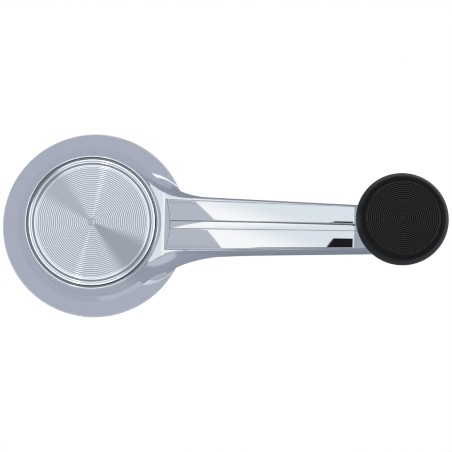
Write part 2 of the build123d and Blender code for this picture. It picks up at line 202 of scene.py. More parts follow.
# ---------------------------------------------------------------- mesh helpers
def new_object(name, points, faces):
    """Mesh object from millimetre points, with outward normals."""
    mesh = bpy.data.meshes.new(name)
    mesh.from_pydata([Vector(p) * MM for p in points], [], faces)
    made = bpy.data.objects.new(name, mesh)
    bpy.context.scene.collection.objects.link(made)
    outward(mesh)
    return made


def outward(mesh):
    """Turns all faces of a closed mesh outwards."""
    work = bmesh.new()
    work.from_mesh(mesh)
    bmesh.ops.recalc_face_normals(work, faces=work.faces)
    work.to_mesh(mesh)
    work.free()


def lathe(name, profile, axis_x=0.0, turns=TURNS):
    """Turned solid from a closed (radius, height) outline. A point at radius 0 is a single vertex."""
    points, rows = [], []
    for radius, height in profile:
        if radius < 1e-6:
            rows.append([len(points)] * turns)
            points.append((axis_x, 0, height))
            continue
        rows.append(list(range(len(points), len(points) + turns)))
        for k in range(turns):
            angle = 2 * pi * k / turns
            points.append((axis_x + radius * cos(angle), radius * sin(angle), height))
    faces = []
    count = len(profile)
    for i in range(count):
        j = (i + 1) % count
        for k in range(turns):
            n = (k + 1) % turns
            corners = [rows[i][k], rows[i][n], rows[j][n], rows[j][k]]
            face = list(dict.fromkeys(corners))
            if len(face) > 2:
                faces.append(face)
    return new_object(name, points, faces)


def stacked(name, loops):
    """Solid through a row of closed loops that have equally many points."""
    count = len(loops[0])
    points = [point for loop in loops for point in loop]
    faces = []
    for level in range(len(loops) - 1):
        low, high = level * count, (level + 1) * count
        for i in range(count):
            j = (i + 1) % count
            faces.append([low + i, low + j, high + j, high + i])
    faces.append(list(range(count)))
    faces.append(list(range(len(points) - 1, len(points) - count - 1, -1)))
    return new_object(name, points, faces)


def prism(name, outline, low, high):
    """Upright solid from a closed plan outline."""
    return stacked(name, [[(x, y, z) for x, y in outline] for z in (low, high)])


def slab(name, profile, half):
    """Solid across the arm from a closed (x, height) outline, as wide as half on either side."""
    return stacked(name, [[(x, y, z) for x, z in profile] for y in (-half, half)])


def block(name, centre, size, turn=0.0):
    """Rectangular cutter, turned about the shaft axis."""
    half_x, half_y, half_z = (s / 2 for s in size)
    corners = [(-half_x, -half_y), (half_x, -half_y), (half_x, half_y), (-half_x, half_y)]
    outline = []
    for x, y in corners:
        px, py = centre[0] + x, centre[1] + y
        outline.append((px * cos(turn) - py * sin(turn), px * sin(turn) + py * cos(turn)))
    return prism(name, outline, centre[2] - half_z, centre[2] + half_z)


def combine(target, tool, operation):
    """Joins or cuts target with tool and removes tool."""
    step = target.modifiers.new("combine", "BOOLEAN")
    step.operation = operation
    step.solver = "EXACT"
    step.object = tool
    result = bpy.data.meshes.new_from_object(target.evaluated_get(bpy.context.evaluated_depsgraph_get()))
    target.modifiers.remove(step)
    old = target.data
    target.data = result
    bpy.data.meshes.remove(old)
    spent = tool.data
    bpy.data.objects.remove(tool)
    bpy.data.meshes.remove(spent)


def shade(made, sharp_angle=32):
    """Smooth shading with sharp edges kept, weighted so that flat faces stay flat."""
    made.data.shade_smooth()
    made.data.set_sharp_from_angle(angle=radians(sharp_angle))
    weighted = made.modifiers.new("normals", "WEIGHTED_NORMAL")
    weighted.keep_sharp = True
    weighted.weight = 90
    result = made.evaluated_get(bpy.context.evaluated_depsgraph_get())
    made.data = bpy.data.meshes.new_from_object(result)
    made.modifiers.remove(weighted)


def finish_piece(made, node, material, sharp_angle=32):
    """Shades a piece, gives it its material and lets it stand for its CAD node."""
    shade(made, sharp_angle)
    made.data.materials.clear()
    made.data.materials.append(material)
    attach(made, nodes[node]["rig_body"])
    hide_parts(node)
    return made


def blend_between(a, b, t):
    """Point or tuple at share t of the way from a to b."""
    return tuple(p + (q - p) * t for p, q in zip(a, b))


def round_corner(before, corner, after, reach, steps=5):
    """Points of a soft corner that starts and ends at a distance reach from it."""
    back = min(0.5, reach / max(1e-6, hypot(before[0] - corner[0], before[-1] - corner[-1])))
    ahead = min(0.5, reach / max(1e-6, hypot(after[0] - corner[0], after[-1] - corner[-1])))
    start = blend_between(corner, before, back)
    end = blend_between(corner, after, ahead)
    found = []
    for k in range(steps + 1):
        t = k / steps
        found.append(tuple((1 - t) ** 2 * s + 2 * t * (1 - t) * c + t * t * e
                           for s, c, e in zip(start, corner, end)))
    return found


def rounded_outline(points, reaches):
    """(radius, height) outline in which the corner with a reach above 0 is softened."""
    found = []
    count = len(points)
    for i, corner in enumerate(points):
        if reaches[i]:
            found += round_corner(points[i - 1], corner, points[(i + 1) % count], reaches[i])
        else:
            found.append(corner)
    return found


def eased(start, leave, end, arrive, t):
    """Point at share t of a smooth curve with given directions at its two ends."""
    point = (2 * t ** 3 - 3 * t ** 2 + 1) * start + (t ** 3 - 2 * t ** 2 + t) * leave
    return point + (3 * t ** 2 - 2 * t ** 3) * end + (t ** 3 - t ** 2) * arrive


def through_three(first, middle, last, leave, arrive, steps):
    """Smooth curve through three points, leaving and arriving in the given directions."""
    p0, p1, p2 = Vector(first), Vector(middle), Vector(last)
    h0, h1 = (p1 - p0).length, (p2 - p1).length
    t0, t2 = Vector(leave).normalized(), Vector(arrive).normalized()
    pull = 3 * ((p1 - p0) / h0 ** 2 + (p2 - p1) / h1 ** 2)
    t1 = (pull - t0 / h0 - t2 / h1) / (2 / h0 + 2 / h1)
    found = []
    for a, b, ta, tb, h in ((p0, p1, t0, t1, h0), (p1, p2, t1, t2, h1)):
        found += [tuple(eased(a, h * ta, b, h * tb, k / steps)) for k in range(steps)]
    return found + [tuple(p2)]


# ---------------------------------------------------------------- casting
def taper(at_shaft, at_knob, x):
    """Value at x of a size that changes evenly from the shaft axis to the knob axis."""
    return at_shaft + (at_knob - at_shaft) * x / CRANK_LENGTH


def outline_side(hub_r, half_hub, half_knob, blend):
    """Half a plan outline: from the far side of the hub, along the +Y side of the arm, to its tip."""
    along = Vector((CRANK_LENGTH, half_knob - half_hub)).normalized()
    out = Vector((-along.y, along.x))
    side_reach = half_hub * out.y
    t = sqrt((hub_r + blend) ** 2 - (side_reach + blend) ** 2)
    centre = along * t + out * (side_reach + blend)
    hub_angle = atan2(centre.y, centre.x)
    side_start = along * t + out * side_reach
    knob_axis = Vector((CRANK_LENGTH, 0))
    end_r = side_reach - CRANK_LENGTH * out.x
    side_end = knob_axis + out * end_r
    found = []
    for k in range(HUB_STEPS):
        angle = pi + (hub_angle - pi) * k / HUB_STEPS
        found.append(Vector((cos(angle), sin(angle))) * hub_r)
    first, last = hub_angle - pi, atan2(-out.y, -out.x)
    for k in range(BLEND_STEPS):
        angle = first + (last - first) * k / BLEND_STEPS
        found.append(centre + Vector((cos(angle), sin(angle))) * blend)
    for k in range(SIDE_STEPS):
        found.append(side_start.lerp(side_end, k / SIDE_STEPS))
    first = atan2(out.y, out.x)
    for k in range(END_STEPS + 1):
        angle = first * (1 - k / END_STEPS)
        found.append(knob_axis + Vector((cos(angle), sin(angle))) * end_r)
    return found


def plan_outline(hub_r, drafts, inset, blends):
    """Plan of hub and arm at one level. drafts is the share of the spread; inset draws the sides in."""
    half_hub = FACE_HALF_HUB + drafts * DRAFT_HUB - inset
    half_knob = FACE_HALF_KNOB + drafts * DRAFT_KNOB - inset
    upper = outline_side(hub_r, half_hub, half_knob, blends[0] + inset)
    mirrored = outline_side(hub_r, half_hub, half_knob, blends[1] + inset)
    lower = [Vector((p.x, -p.y)) for p in mirrored[-2:0:-1]]
    return [tuple(p) for p in upper + lower]


def casting_levels():
    """(hub radius, share of draft, inset, both blend radii, height) of each level, from foot to face."""
    foot = (HUB_R, 1, 0, *FLANGE_BLEND_R, HUB_BACK_Z)
    edge = (HUB_R, 1, 0, *FLANGE_BLEND_R, FLANGE_EDGE_Z)
    crease = (CREASE_R, 0.95, 0, *FOOT_BLEND_R, CREASE_Z)
    face_edge = (SHOULDER_R, 0, 0, *FACE_BLEND_R, FACE_EDGE_Z)
    face = (SHOULDER_R - EDGE_BAND, 0, EDGE_BAND, *FACE_BLEND_R, FACE_Z)
    inside = (SHOULDER_R - 2 * EDGE_BAND, 0, 2 * EDGE_BAND, *FACE_BLEND_R, FACE_Z)
    levels = [foot]
    levels += round_corner(foot, edge, crease, EDGE_ROUND)
    levels += [blend_between(edge, crease, k / 5) for k in (1, 2, 3, 4)]
    levels += [crease]
    levels += [blend_between(crease, face_edge, k / 8) for k in range(1, 8)]
    levels += round_corner(crease, face_edge, face, EDGE_ROUND)
    levels += [blend_between(face_edge, face, k / 4) for k in (1, 2, 3)]
    return levels + round_corner(face_edge, face, inside, EDGE_ROUND)


def casting_outside():
    """Hub and arm up to the face, as stacked outlines."""
    loops = []
    for hub_r, drafts, inset, blend_up, blend_low, height in casting_levels():
        outline = plan_outline(hub_r, drafts, inset, (blend_up, blend_low))
        loops.append([(x, y, height) for x, y in outline])
    return stacked("handle_casting_mesh", loops)


def steep_radius(z):
    """Radius of the hub's steep side at a height."""
    return CREASE_R + (SHOULDER_R - CREASE_R) * (z - CREASE_Z) / (FACE_EDGE_Z - CREASE_Z)


def hub_rim():
    """Upper end of the hub: ground under the recess, and the thin rim around it."""
    fall_z = RIM_Z - RIM_FALL
    foot = [(0, RIM_FOOT_Z), (20, RIM_FOOT_Z)]
    skin = ((RIM_FOOT_Z, -0.02), (10.7, 0.004), (11.1, RIM_SKIN), (11.6, RIM_SKIN), (12.0, RIM_SKIN))
    outside = [(steep_radius(z) + proud, z) for z, proud in skin]
    crown = [(steep_radius(fall_z), fall_z)]
    crown += [(RIM_R + half, RIM_Z) for half in (RIM_CREST_HALF, -RIM_CREST_HALF)]
    inside = [(RECESS_R, fall_z), (RECESS_R, RECESS_Z)]
    floor = [(18, RECESS_Z), (0, RECESS_Z)]
    reaches = [0] * (len(foot) + len(outside)) + [0.03, 0.02, 0.02] + [0.03, 0.1] + [0] * len(floor)
    return lathe("rim", rounded_outline(foot + outside + crown + inside + floor, reaches))


def neck_ramp():
    """Gentle ramp that carries the arm's face up to the rim, as wide as the arm."""
    foot, top = Vector((RAMP_START_X, FACE_Z)), Vector((RAMP_END_X, RAMP_TOP_Z))
    reach = (top - foot).length
    leave, arrive = Vector((-1, 0)) * reach, Vector((-1, RAMP_TOP_SLOPE)) * reach
    under = FACE_EDGE_Z - RAMP_SUNK
    curve = [(RAMP_START_X + 0.1, under)]
    curve += [tuple(eased(foot, leave, top, arrive, k / RAMP_STEPS)) for k in range(RAMP_STEPS + 1)]
    curve.append((RAMP_END_X, under))
    ramp = slab("ramp", curve, RAMP_HALF)
    plan = plan_outline(SHOULDER_R, 0, RAMP_INSET, FACE_BLEND_R)
    combine(ramp, prism("ramp_width", plan, FACE_Z - CLEAR, RIM_Z), "INTERSECT")
    inside_r, top_z = (RECESS_R + RIM_R) / 2, RIM_Z + CLEAR
    well = lathe("well", [(0, 0), (inside_r, 0), (inside_r, top_z), (0, top_z)], turns=CUTTER_TURNS)
    combine(ramp, well, "DIFFERENCE")
    return ramp


def bar_arch(x):
    """Rise of the bars along their length: none at the hub and knob ends."""
    middle = CRANK_LENGTH / 2
    most = (middle - ARCH_START_R) * (BAR_END_X - middle)
    return BAR_ARCH * (x - ARCH_START_R) * (BAR_END_X - x) / most


def edge_steps():
    """(in, down) of each point round a bar's rounded edge, from its wall to its top."""
    turns = [pi / 2 * k / EDGE_STEPS for k in range(EDGE_STEPS + 1)]
    return [(BAR_EDGE * (1 - cos(turn)), BAR_EDGE * (1 - sin(turn))) for turn in turns]


def bar_sides(x):
    """Middle line of the bars at x, and their inner and outer edge measured from it."""
    inner, outer = taper(BAR_IN_HUB, BAR_IN_KNOB, x), taper(BAR_OUT_HUB, BAR_OUT_KNOB, x)
    return taper(BAR_SKEW_HUB, 0, x), inner, outer


def bar_row(side, share, inset, drop, foot_z):
    """Points across one bar at a share of its length. inset pulls it in; drop lowers its top."""
    across = [(0.0, along, down) for along, down in edge_steps()]
    across += [(k / CROWN_STEPS, 0.0, 0.0) for k in range(1, CROWN_STEPS)]
    across += [(1.0, -along, down) for along, down in reversed(edge_steps())]
    row = []
    walls = [(0.0, 0.0, None)] + across + [(1.0, 0.0, None)]
    for w, shift, fall in walls:
        x = (BAR_START_R + BAR_SEAT_X) / 2
        for _ in range(4):      # x and y depend on each other and settle in a few rounds
            middle, inner, outer = bar_sides(x)
            y = middle + side * (inner + shift + w * (outer - inner))
            start = sqrt(BAR_START_R ** 2 - y * y)
            x = start + share * (BAR_SEAT_X - start) + inset
        if fall is None:
            row.append((x, y, foot_z))
            continue
        across_bar = abs(y - middle) - inner
        profile = BAR_INNER_H + BAR_SLOPE * across_bar - BAR_FALL * across_bar ** 2
        height = FACE_Z + profile + bar_arch(x) - fall
        row.append((x, y, max(foot_z, height - drop)))
    return row


def raised_bar(side):
    """One long crowned bar with rounded top edges, ended by an arc at the hub and square at the seat."""
    foot_z = FACE_Z - BAR_SUNK
    all_down = RIM_Z
    rows = [bar_row(side, 0, 0, all_down, foot_z)]
    rows += [bar_row(side, 0, along, down, foot_z) for along, down in edge_steps()]
    rows += [bar_row(side, k / BAR_STEPS, 0, 0, foot_z) for k in range(1, BAR_STEPS)]
    rows += [bar_row(side, 1, -along, down, foot_z) for along, down in reversed(edge_steps())]
    rows.append(bar_row(side, 1, 0, all_down, foot_z))
    width = len(rows[0])
    points = [p for row in rows for p in row]
    faces = []
    for i in range(len(rows) - 1):
        for j in range(width - 1):
            a = i * width + j
            faces.append([a, a + 1, a + width + 1, a + width])
    last = (len(rows) - 1) * width
    foot = list(range(width)) + [i * width + width - 1 for i in range(1, len(rows))]
    foot += list(range(last + width - 2, last - 1, -1))
    foot += [i * width for i in range(len(rows) - 2, 0, -1)]
    faces.append(foot)
    return new_object("bar", points, faces)


def seat_strip(side):
    """Spot-faced end of a bar, under the knob."""
    near, far = BAR_SEAT_X - SEAT_LAP, BAR_END_X
    outline = []
    for x in (near, far):
        middle, inner, _ = bar_sides(x)
        outline.append((x, middle + side * (inner + SEAT_INSET)))
    for x in (far, near):
        middle, _, outer = bar_sides(x)
        outline.append((x, middle + side * (outer - SEAT_INSET)))
    return prism("seat", outline, FACE_Z - SEAT_SUNK, SEAT_Z)


def valley_cutter():
    """Lens-shaped hollow between the bars, from the hub to the knob."""
    loops = []
    for k in range(VALLEY_STEPS + 1):
        x = VALLEY_START_X + (BAR_END_X - VALLEY_START_X) * k / VALLEY_STEPS
        middle, half, _ = bar_sides(x)
        loop = [(x, middle - half * VALLEY_SPREAD, FACE_Z + CLEAR)]
        for j in range(VALLEY_ACROSS + 1):
            w = VALLEY_SPREAD * (2 * j / VALLEY_ACROSS - 1)
            loop.append((x, middle + w * half, FACE_Z - VALLEY_DEPTH * (1 - w * w)))
        loops.append(loop + [(x, middle + half * VALLEY_SPREAD, FACE_Z + CLEAR)])
    return stacked("valley", loops)


def underside_cutter():
    """Space under the arm: it lifts off the trim just outside the flange."""
    start, top, beyond = LIFT_START_X, LIFT_END_X, CRANK_LENGTH + 30
    profile = [(start, -CLEAR), (start, HUB_BACK_Z)]
    for k in range(1, LIFT_STEPS + 1):
        t = k / LIFT_STEPS
        rise = t * t * (3 - 2 * t)
        profile.append((start + (top - start) * t, HUB_BACK_Z + (ARM_UNDER_Z - HUB_BACK_Z) * rise))
    profile += [(beyond, ARM_UNDER_Z), (beyond, -CLEAR)]
    return slab("underside", profile, 30)


def hub_cavity():
    """Open back of the hub, with the boss and ribs left standing."""
    web_z = RECESS_Z - WEB_T
    mouth_r, mouth_z = HUB_R - CAVITY_INSET, HUB_BACK_Z - CLEAR
    cavity = lathe("cavity", [
        (BOSS_R, mouth_z), (mouth_r, mouth_z), (mouth_r, HUB_BACK_Z + 0.4), (CREASE_R - WALL, CREASE_Z),
        (SHOULDER_R - WALL - 0.8, web_z), (BOSS_R, web_z)], turns=CUTTER_TURNS)
    low, high = HUB_BACK_Z + RIB_SETBACK, web_z + CLEAR
    for place in range(HUB_RIBS):
        turn = radians((place + 0.5) * 360 / HUB_RIBS)
        rib = block("rib", (HUB_R / 2 + 2, 0, (low + high) / 2), (HUB_R + 4, RIB_T, high - low), turn)
        combine(cavity, rib, "DIFFERENCE")
    return cavity


def arm_pockets():
    """Hollows in the arm's underside, between cross ribs."""
    roof_z = FACE_Z - ARM_ROOF_T
    low_x, high_x = CREASE_R + 1.5, CRANK_LENGTH - FACE_HALF_KNOB - 2.5
    step = (high_x - low_x) / (ARM_RIBS + 1)
    pockets = []
    for place in range(ARM_RIBS + 1):
        near = low_x + place * step + (RIB_T / 2 if place else HUB_R - low_x)
        far = low_x + (place + 1) * step - (RIB_T / 2 if place < ARM_RIBS else 0)
        near_half = taper(FACE_HALF_HUB, FACE_HALF_KNOB, near) - WALL
        far_half = taper(FACE_HALF_HUB, FACE_HALF_KNOB, far) - WALL
        corners = [(near, -near_half), (far, -far_half), (far, far_half), (near, near_half)]
        low_z = 0 if place else CREASE_Z + 0.5
        pockets.append(prism("pocket", soft_plan(corners, POCKET_CORNER), low_z, roof_z))
    return pockets


def soft_plan(corners, reach):
    """Plan outline with its corners rounded."""
    found = []
    for i, corner in enumerate(corners):
        found += round_corner(corners[i - 1], corner, corners[(i + 1) % len(corners)], reach, 4)
    return found


def handle_casting(material):
    """Hub and arm, cast in one piece."""
    casting = casting_outside()
    combine(casting, underside_cutter(), "DIFFERENCE")
    combine(casting, valley_cutter(), "DIFFERENCE")
    combine(casting, hub_rim(), "UNION")
    combine(casting, neck_ramp(), "UNION")
    for side in (1, -1):
        combine(casting, raised_bar(side), "UNION")
        combine(casting, seat_strip(side), "UNION")
    combine(casting, hub_cavity(), "DIFFERENCE")
    for pocket in arm_pockets():
        combine(casting, pocket, "DIFFERENCE")
    socket = [(0, 0), (INSERT_R, 0), (INSERT_R, INSERT_TOP_Z), (WELL_R, INSERT_TOP_Z), (WELL_R, RIM_Z),
              (0, RIM_Z)]
    combine(casting, lathe("socket", socket, turns=96), "DIFFERENCE")
    wide_r, high_z = RIVET_R + RIVET_FLARE, ARM_UNDER_Z + RIVET_FLARE
    rivet = [(0, 0), (wide_r, 0), (wide_r, ARM_UNDER_Z), (RIVET_R, high_z), (RIVET_R, RIM_Z), (0, RIM_Z)]
    combine(casting, lathe("rivet", rivet, CRANK_LENGTH, turns=64), "DIFFERENCE")
    return finish_piece(casting, "handle_casting", material)


# ---------------------------------------------------------------- turned pieces
def groove_profile(pitch, crest_z, depth, outer, inner, lean):
    """Turned rings with soft crests, from outer to inner radius. lean places a groove's floor."""
    found = []
    crest = outer
    while crest > inner:
        found.append((crest + CREST_OUT * pitch, crest_z - CREST_DROP * depth))
        found.append((crest - CREST_IN * pitch, crest_z - CREST_DROP * depth))
        if crest - lean * pitch > inner:
            found.append((crest - lean * pitch, crest_z - depth))
        crest -= pitch
    return found


def ridge(crest_r, half_width, foot_z, rise):
    """Roof-shaped ring with a soft crest, from its outer foot to its inner foot."""
    outer, inner = (crest_r + half_width, foot_z), (crest_r - half_width, foot_z)
    crest = (crest_r, foot_z + rise)
    return [outer] + round_corner(outer, crest, inner, half_width * 0.2) + [inner]


def hub_disc(material):
    """Stamped disc: rolled bead, channel, low lip, turned rings and a small centre button."""
    face = DISC_FACE_Z
    edge = [(DISC_R - 0.3, DISC_BACK_Z), (DISC_R, DISC_BACK_Z + 0.35)]
    bead = ridge(BEAD_R, BEAD_HALF, face, BEAD_H)
    channel = [(CHANNEL_R + half, face - CHANNEL_DEPTH) for half in (CHANNEL_HALF, -CHANNEL_HALF)]
    lip = ridge(LIP_R, LIP_HALF, face, LIP_H)
    rings = groove_profile(DISC_PITCH, face, GROOVE_DEPTH, RINGS_R, BUTTON_R + 0.1, GROOVE_LEAN)
    button = [(BUTTON_R, face - GROOVE_DEPTH)]
    button += [(BUTTON_R - inset, face + up) for inset, up in BUTTON_CROWN]
    button += [(DIMPLE_R, face - DIMPLE_EDGE_H), (0, face - DIMPLE_H), (0, DISC_BACK_Z)]
    disc = lathe("hub_disc_mesh", edge + bead + channel + lip + rings + button)
    return finish_piece(disc, "hub_disc", material, RING_ANGLE)


def knob_body(material):
    """Moulded knob: slim collar, waist, wide rounded head with a recess for the cap."""
    low, wide_z = KNOB_LOW_Z, KNOB_LIP_Z - WIDE_DROP
    collar, waist, wide = (COLLAR_R, low + COLLAR_H), (WAIST_R, low + WAIST_H), (KNOB_R, wide_z)
    upward, inward, flat = (0.02, 1), (-0.15, 1), (-1, 0.1)
    side = through_three(collar, waist, wide, inward, upward, SIDE_POINTS)
    edge, lip = (KNOB_R - SHOULDER_IN, wide_z + SHOULDER_UP), (KNOB_R - LIP_IN, KNOB_LIP_Z)
    shoulder = through_three(wide, edge, lip, upward, flat, SHOULDER_POINTS)
    recess_r = CAP_R + 0.05
    corners = [(KNOB_R - LIP_IN - 0.15, KNOB_LIP_Z), (recess_r, KNOB_LIP_Z - 0.15), (recess_r, CAP_SEAT_Z),
               (HEAD_POCKET_R, CAP_SEAT_Z), (HEAD_POCKET_R, BUSH_TOP_Z), (BUSH_R, BUSH_TOP_Z),
               (BUSH_R, low), (COLLAR_FOOT_R, low)]
    outline = side + shoulder[1:] + rounded_outline(corners, [0.1, 0.08, 0, 0, 0, 0, 0, 0.3])
    knob = lathe("knob_body_mesh", outline, CRANK_LENGTH, turns=KNOB_TURNS)
    return finish_piece(knob, "knob_body", material)


def knob_cap(material):
    """Ribbed face of the knob."""
    crown = CAP_TOP_Z
    outline = [(0, CAP_SEAT_Z), (CAP_R, CAP_SEAT_Z), (CAP_R, crown - CAP_RIB_H)]
    outline += groove_profile(CAP_PITCH, crown, CAP_RIB_H, CAP_R - CAP_EDGE, 0.3, CAP_GROOVE_LEAN)
    outline += [(DIMPLE_R, crown - 0.08), (0, crown - DIMPLE_H)]
    cap = lathe("knob_cap_mesh", outline, CRANK_LENGTH, turns=KNOB_TURNS)
    return finish_piece(cap, "knob_cap", material, RING_ANGLE)


# ---------------------------------------------------------------- node helper
class Graph:
    """Short calls that add shader nodes and link them."""

    def __init__(self, tree):
        self.tree = tree

    def node(self, kind, **inputs):
        made = self.tree.nodes.new(kind)
        for name, value in inputs.items():
            self.put(made.inputs[name.replace("_", " ")], value)
        return made

    def put(self, socket, value):
        if isinstance(value, bpy.types.NodeSocket):
            self.tree.links.new(value, socket)
        elif value is not None:
            socket.default_value = value

    def math(self, operation, *values):
        made = self.tree.nodes.new("ShaderNodeMath")
        made.operation = operation
        for socket, value in zip(made.inputs, values):
            self.put(socket, value)
        return made.outputs[0]

    def step(self, value, low, high):
        """0 below low, 1 above high, smooth between. low may be above high."""
        made = self.tree.nodes.new("ShaderNodeMapRange")
        made.interpolation_type = "SMOOTHSTEP"
        flip = low > high
        self.put(made.inputs["Value"], value)
        made.inputs["From Min"].default_value = high if flip else low
        made.inputs["From Max"].default_value = low if flip else high
        made.inputs["To Min"].default_value = 1 if flip else 0
        made.inputs["To Max"].default_value = 0 if flip else 1
        return made.outputs["Result"]

    def band(self, value, low, high, soft):
        """1 between low and high, fading over soft on either side."""
        return self.both(self.step(value, low - soft, low), self.step(value, high + soft, high))

    def both(self, first, second):
        """1 only where the two shares are both 1."""
        return self.math("MULTIPLY", first, second)

    def either(self, first, second):
        """The larger of two values."""
        return self.math("MAXIMUM", first, second)

    def length(self, x, y):
        """Length of the flat vector (x, y)."""
        return self.math("SQRT", self.math("ADD", self.both(x, x), self.both(y, y)))

    def ramp(self, value, low, high):
        """Value 0..1 spread evenly from low to high."""
        made = self.tree.nodes.new("ShaderNodeMapRange")
        self.put(made.inputs["Value"], value)
        made.inputs["To Min"].default_value = low
        made.inputs["To Max"].default_value = high
        return made.outputs["Result"]

    def mix(self, share, first, second):
        made = self.tree.nodes.new("ShaderNodeMix")
        made.data_type = "RGBA"
        self.put(made.inputs[0], share)
        self.put(made.inputs[6], first)
        self.put(made.inputs[7], second)
        return made.outputs[2]

    def noise(self, place, scale, detail=3.0, roughness=0.5):
        made = self.tree.nodes.new("ShaderNodeTexNoise")
        self.put(made.inputs["Vector"], place)
        made.inputs["Scale"].default_value = scale
        made.inputs["Detail"].default_value = detail
        made.inputs["Roughness"].default_value = roughness
        return made.outputs["Fac"]

    def place(self, scale=(1, 1, 1)):
        """Position on the piece, in metres of the CAD frame, stretched by scale."""
        coords = self.tree.nodes.new("ShaderNodeTexCoord")
        stretch = self.tree.nodes.new("ShaderNodeMapping")
        stretch.inputs["Scale"].default_value = scale
        self.tree.links.new(coords.outputs["Object"], stretch.inputs["Vector"])
        return stretch.outputs["Vector"]

    def split(self, vector):
        made = self.tree.nodes.new("ShaderNodeSeparateXYZ")
        self.put(made.inputs[0], vector)
        return made.outputs


def new_material(name):
    """Empty material with a Principled surface. Returns (material, graph, principled)."""
    made = bpy.data.materials.new(name)
    made.use_nodes = True
    graph = Graph(made.node_tree)
    return made, graph, made.node_tree.nodes["Principled BSDF"]


def bump(graph, shader, height, distance, strength=1.0):
    """Fine relief for a surface, as deep as distance in metres."""
    made = graph.node("ShaderNodeBump", Height=height, Distance=distance, Strength=strength)
    graph.put(shader.inputs["Normal"], made.outputs["Normal"])


# ---------------------------------------------------------------- materials
# base colours; a pair is mixed by noise
PLATING = ((0.90, 0.915, 0.94, 1), (0.93, 0.935, 0.94, 1))
PLATING_SEAT = (0.62, 0.64, 0.68, 1)
PLATING_BACK = (0.66, 0.67, 0.69, 1)
# painted shade: dark tint laid on the plating in the corners at the bars' feet and inside the recess round
# the disc
PLATING_PAINTED_SHADE = (0.13, 0.14, 0.16, 1)
CORNER_SHADE_SHARE = 0.7
SEAT_DULL, BACK_DULL, CORNER_DULL = 0.42, 0.3, 0.25     # roughness
TURNED = ((0.80, 0.82, 0.84, 1), (0.88, 0.89, 0.90, 1))
TURNED_EDGE = (0.97, 0.98, 0.98, 1)
# painted shade: darker tones for the channel and for the disc's edge in the gap to the rim
CHANNEL_PAINTED_SHADE = (0.46, 0.49, 0.53, 1)
GAP_PAINTED_SHADE = (0.26, 0.28, 0.32, 1)
ZINC = ((0.50, 0.51, 0.53, 1), (0.66, 0.66, 0.64, 1))
FOAM = ((0.04, 0.04, 0.045, 1), (0.11, 0.11, 0.12, 1))
NYLON = ((0.74, 0.72, 0.64, 1), (0.84, 0.82, 0.76, 1))
BRASS = ((0.62, 0.44, 0.18, 1), (0.78, 0.60, 0.30, 1))
KNOB_TONE, CAP_TONE = 0.003, 0.005
WARM_SHEEN = (1.0, 0.93, 0.80, 1)


def tapered(g, x, at_shaft, at_knob):
    """A size of the arm at x, in metres, as a shader value."""
    return g.math("MULTIPLY_ADD", x, (at_knob - at_shaft) / CRANK_LENGTH, at_shaft * MM)


def dull_shaded_bar_corners(g, at):
    """1 in the corners at the foot of the raised bars, which no polishing wheel reaches, so they are dull;
    their darker tint is painted shade.
    """
    x, y = at[0], g.math("SUBTRACT", at[1], tapered(g, at[0], BAR_SKEW_HUB, 0))
    off = g.math("ABSOLUTE", y)
    past_outer = g.math("SUBTRACT", off, tapered(g, x, BAR_OUT_HUB, BAR_OUT_KNOB))
    past_inner = g.math("SUBTRACT", tapered(g, x, BAR_IN_HUB, BAR_IN_KNOB), off)
    before = g.math("SUBTRACT", BAR_START_R * MM, g.length(at[0], at[1]))
    outer_foot = g.band(past_outer, 0, 0.12 * MM, 0.06 * MM)
    inner_foot = g.band(past_inner, 0, 0.2 * MM, 0.06 * MM)
    hub_foot = g.band(before, 0.0, 0.22 * MM, 0.08 * MM)
    long_side = g.both(g.either(outer_foot, inner_foot), g.step(before, 0.2 * MM, 0.1 * MM))
    short_side = g.both(hub_foot, g.step(past_outer, 0.2 * MM, 0.1 * MM))
    on_arm = g.step(x, (BAR_START_R - 8) * MM, (BAR_START_R - 7.5) * MM)
    on_face = g.step(at[2], (FACE_EDGE_Z - 0.3) * MM, (FACE_EDGE_Z - 0.2) * MM)
    return g.both(g.both(g.either(long_side, short_side), on_arm), on_face)


def chrome_material():
    """Polished plating: satin under the knob and on the back, dull in corners and recess, where painted
    shade also darkens its colour.
    """
    made, g, shader = new_material("chrome_plating")
    at = g.split(g.place())
    haze = g.noise(g.place(), 60, 4)
    wipe = g.noise(g.place((1, 9, 4)), 240, 2)
    in_seat = g.step(at[0], (BAR_SEAT_X - 0.05) * MM, (BAR_SEAT_X + 0.05) * MM)
    low_top = g.step(at[2], (SEAT_Z + 0.1) * MM, (SEAT_Z + 0.02) * MM)
    facing = g.split(g.tree.nodes.new("ShaderNodeNewGeometry").outputs["True Normal"])
    up = g.step(facing[2], 0.9, 0.97)
    seat = g.both(g.both(in_seat, low_top), up)
    back = g.step(facing[2], -0.2, -0.5)
    # the recess inside the rim, floor and wall, which gets painted shade
    recess = g.both(g.step(g.length(at[0], at[1]), (RECESS_R + 0.05) * MM, RECESS_R * MM),
                    g.step(at[2], RECESS_Z * MM - MM, RECESS_Z * MM))
    corner = g.either(dull_shaded_bar_corners(g, at), recess)
    rough = g.math("ADD", g.ramp(haze, 0.005, 0.012), g.ramp(wipe, 0.0, 0.008))
    for place, dullness in ((seat, SEAT_DULL), (back, BACK_DULL), (corner, CORNER_DULL)):
        rough = g.either(rough, g.math("MULTIPLY", place, dullness))
    tint = g.mix(g.ramp(haze, 0.0, 1.0), *PLATING)
    tint = g.mix(seat, tint, PLATING_SEAT)
    tint = g.mix(back, tint, PLATING_BACK)
    # painted shade: darkens the plating in the bars' corners and in the recess
    tint = g.mix(g.math("MULTIPLY", corner, CORNER_SHADE_SHARE), tint, PLATING_PAINTED_SHADE)
    g.put(shader.inputs["Base Color"], tint)
    shader.inputs["Metallic"].default_value = 1
    g.put(shader.inputs["Roughness"], rough)
    return made


